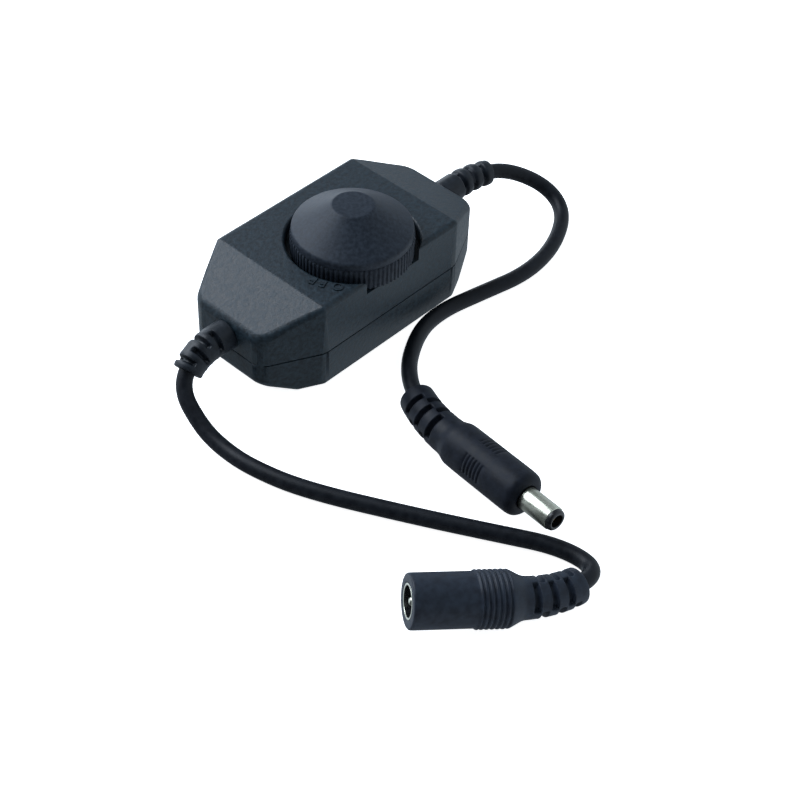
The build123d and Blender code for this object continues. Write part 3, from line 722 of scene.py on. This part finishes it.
lettering = {
    "letters": (("O", 213.5), ("F", 202.5), ("F", 194.5)),  # degrees round the knob, read clockwise
    "radius": 16.9, "size": 3.5, "raised": 0.28, "sunk": 0.02, "top": 24.0,
}


def makeLettering(words):
    bm = bmesh.new()
    height = words["top"] + words["raised"] / 2 - words["sunk"]
    for letter, degrees in words["letters"]:
        curve = bpy.data.curves.new("letter", "FONT")
        curve.body = letter
        curve.size = words["size"]
        curve.extrude = words["raised"] / 2
        curve.align_x = "CENTER"
        curve.resolution_u = 4
        text = bpy.data.objects.new("letter", curve)
        scene.collection.objects.link(text)
        mesh = bpy.data.meshes.new_from_object(text.evaluated_get(bpy.context.evaluated_depsgraph_get()))
        turn = math.radians(degrees)
        out = Vector((math.cos(turn), math.sin(turn), 0))
        spot = Vector(knob["centre"]) + words["radius"] * out + Vector((0, 0, height))
        mesh.transform(axes(spot, (out.y, -out.x, 0), out, (0, 0, 1)))
        bm.from_mesh(mesh)
        bpy.data.objects.remove(text)
        bpy.data.meshes.remove(mesh)
    finishPiece("offLettering", bm, caseFinish, [], sharp=30)


makeLettering(lettering)
print("lettering made")


insideFinishes = {
    "case_screws": plainInside("zincSteel", "#8E9094", "#B4B6B8", 0.5, 0.25, 0.4, 1.0),
    "pot_shaft": plainInside("shaftAcetal", "#C9C4B6", "#DDD9CD", 1.2, 0.35, 0.5),
    "pot_wiper": brassFinish,
    "pot_pins": brassFinish,
    "pot_track": plainInside("trackCarbon", "#0D0D0E", "#1B1B1C", 0.2, 0.5, 0.65),
    "pot_body": plainInside("potPhenolic", "#4A2C17", "#66401F", 0.6, 0.4, 0.6),
    "pot_plate": plainInside("plateSteel", "#96989A", "#B9BBBC", 0.8, 0.25, 0.42, 1.0),
    "transistor_tab": plainInside("tinnedCopper", "#A5A6A4", "#C4C4C0", 0.5, 0.25, 0.4, 1.0),
    "circuit_board": boardLaminate(),
    "timer_chip": plainInside("chipEpoxy", "#131415", "#202123", 0.15, 0.5, 0.65),
    "capacitor": plainInside("canAluminium", "#B4B5B6", "#CFD0D0", 0.4, 0.2, 0.34, 1.0),
    "input_leads": plainInside("leadRed", "#7A1012", "#9A1A1A", 0.7, 0.35, 0.5),
    "output_leads": plainInside("leadBlack", "#111214", "#1E2022", 0.7, 0.35, 0.5),
}
for node in ("power_transistor", "diode", "resistors"):
    insideFinishes[node] = insideFinishes["timer_chip"]
for node, finish in insideFinishes.items():
    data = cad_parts[node].data
    data.materials.clear()
    data.materials.append(finish)
print("inside pieces finished:", len(insideFinishes))


studio = {
    "floor": ("#F6F7F8", "#FFFFFF"), "floorSize": 3.0, "floorMottle": 40.0, "glow": 0.9,
    "fillTint": "#DEEBF7", "fill": 0.36, "left": 0.12, "leftFade": (-0.7, -0.1),
    "front": 1.05, "frontWay": (0.8, -0.6, 0.0), "frontFade": (0.3, 0.75),
    "sweep": 1.3, "sweepBehind": (0.55, 0.8), "sweepHeight": (0.1, 0.4),
    "key": {"towards": (-0.2, 0.68, 0.7), "distance": 0.75, "size": (0.6, 0.6), "power": 8.5, "tint": "#EAF3FF"},
    "back": {"towards": (0.45, 0.88, 0.12), "distance": 0.9, "size": (0.9, 0.35), "power": 2.0, "tint": "#EAF3FF"},
}


def makeFloor(setup):  # seamless paper, with only the faintest mottle
    bm = bmesh.new()
    bmesh.ops.create_grid(bm, x_segments=1, y_segments=1, size=setup["floorSize"])
    floor = linkMesh("floor", bm)
    material, tree, shader, place = startMaterial("floorPaper", {
        "Roughness": 0.9, "Specular IOR Level": 0.1,
        "Emission Color": (1, 1, 1, 1), "Emission Strength": setup["glow"],
    })
    mottle = addNode(tree, "ShaderNodeTexNoise", {"Vector": place, "Scale": 1.0 / (setup["floorMottle"] * mm),
                                                  "Detail": 2.0, "Roughness": 0.55}).outputs["Fac"]
    colour = addNode(tree, "ShaderNodeValToRGB", {"Fac": mottle}, stops=zip((0.2, 0.8), setup["floor"]))
    tree.links.new(colour.outputs["Color"], shader.inputs["Base Color"])
    floor.data.materials.append(material)
    floor.visible_glossy = False  # the photo's plastic shows no floor in its sheen


def makeSoftbox(name, light):
    data = bpy.data.lights.new(name, "AREA")
    data.shape = "RECTANGLE"
    data.size, data.size_y = light["size"]
    data.energy = light["power"]
    data.color = linear(light["tint"])[:3]
    lamp = bpy.data.objects.new(name, data)
    scene.collection.objects.link(lamp)
    towards = Vector(light["towards"]).normalized()
    lamp.location = Vector(cameraView["target"]) * mm + towards * light["distance"]
    lamp.rotation_euler = towards.to_track_quat("Z", "Y").to_euler()


def makeWorld(setup):  # dim fill on the object, a pale sweep low behind it, plain white to the eye
    world = bpy.data.worlds.new("studio")
    scene.world = world
    world.use_nodes = True
    tree = world.node_tree
    look = addNode(tree, "ShaderNodeTexCoord").outputs["Generated"]
    way = addNode(tree, "ShaderNodeSeparateXYZ", {"Vector": look}).outputs
    turned = addNode(tree, "ShaderNodeVectorMath", {0: look, 1: setup["frontWay"]}, {"operation": "DOT_PRODUCT"})
    steps = (  # each step blends from one strength to the next: name, what it follows, where it fades, low, high
        ("side", way["X"], setup["leftFade"], setup["left"], setup["fill"]),
        ("ahead", turned.outputs["Value"], setup["frontFade"], "side", setup["front"]),
        ("behind", way["Y"], setup["sweepBehind"], 0.0, 1.0),
        ("share", way["Z"], setup["sweepHeight"], "behind", 0.0),
        ("strength", "share", (0.0, 1.0), "ahead", setup["sweep"]),
    )
    done = {}
    for name, follows, (start, end), low, high in steps:
        done[name] = addNode(tree, "ShaderNodeMapRange", {
            "Value": done.get(follows, follows), "From Min": start, "From Max": end,
            "To Min": done.get(low, low), "To Max": high}).outputs["Result"]
    fill = tree.nodes["Background"]
    fill.inputs["Color"].default_value = linear(setup["fillTint"])
    tree.links.new(done["strength"], fill.inputs["Strength"])
    seen = addNode(tree, "ShaderNodeLightPath").outputs["Is Camera Ray"]
    paper = addNode(tree, "ShaderNodeBackground", {"Color": (1, 1, 1, 1), "Strength": 1.0}).outputs["Background"]
    mixed = addNode(tree, "ShaderNodeMixShader", {"Fac": seen, 1: fill.outputs["Background"], 2: paper})
    tree.links.new(mixed.outputs["Shader"], tree.nodes["World Output"].inputs["Surface"])


makeFloor(studio)
makeSoftbox("key", studio["key"])
makeSoftbox("back", studio["back"])
makeWorld(studio)
scene.view_settings.view_transform = "Standard"
print("studio lit")

bpy.context.view_layer.update()
